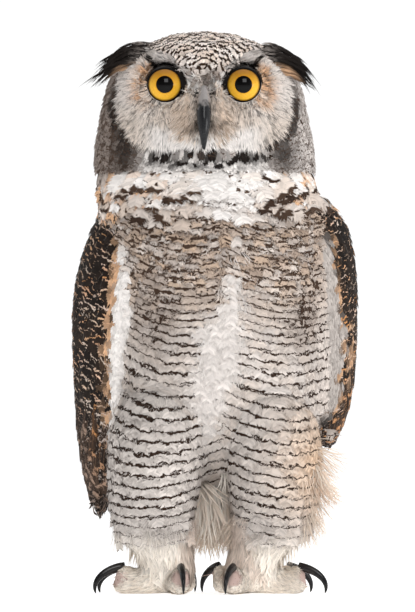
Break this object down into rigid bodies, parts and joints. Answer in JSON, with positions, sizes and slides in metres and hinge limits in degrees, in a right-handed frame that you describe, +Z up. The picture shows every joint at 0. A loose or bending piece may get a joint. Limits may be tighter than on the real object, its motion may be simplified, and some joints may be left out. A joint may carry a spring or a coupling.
{
  "type": "great horned owl figure",
  "caption": "Life-size great horned owl standing upright and facing forward, wings folded, a still display figure.",
  "frame": {"origin": "on the floor, under the middle of the whole bird from side to side and from front to back", "axes": "+Z up, the bird faces -Y, +X is the bird's own left side"},
  "size_m": [0.2358, 0.2158, 0.46],
  "materials": {
    "plumage_head": "mottled feathers",
    "plumage_neck": "white bib and grey neck feathers",
    "plumage_trunk": "barred feathers",
    "plumage_wing": "dark mottled feathers",
    "plumage_tail": "barred tail feathers",
    "plumage_leg": "soft barred feathers",
    "plumage_foot": "short cream fuzz",
    "plumage_tuft": "black-brown feathers",
    "iris": "wet golden iris",
    "horn": "polished black horn"
  },
  "bodies": {
    "root": {"head": "plumage_head", "neck": "plumage_neck", "trunk": "plumage_trunk", "eye_left": "iris", "eye_right": "iris", "bill_upper": "horn", "bill_lower": "horn", "ear_tuft_left": "plumage_tuft", "wing_left": "plumage_wing", "ear_tuft_right": "plumage_tuft", "wing_right": "plumage_wing", "tail": "plumage_tail", "thigh_left": "plumage_leg", "shank_left": "plumage_leg", "foot_left": "plumage_foot", "toe_inner_left": "plumage_foot", "claw_inner_left": "horn", "toe_middle_left": "plumage_foot", "claw_middle_left": "horn", "toe_outer_left": "plumage_foot", "claw_outer_left": "horn", "toe_hind_left": "plumage_foot", "claw_hind_left": "horn", "thigh_right": "plumage_leg", "shank_right": "plumage_leg", "foot_right": "plumage_foot", "toe_inner_right": "plumage_foot", "claw_inner_right": "horn", "toe_middle_right": "plumage_foot", "claw_middle_right": "horn", "toe_outer_right": "plumage_foot", "claw_outer_right": "horn", "toe_hind_right": "plumage_foot", "claw_hind_right": "horn"}
  },
  "joints": []
}
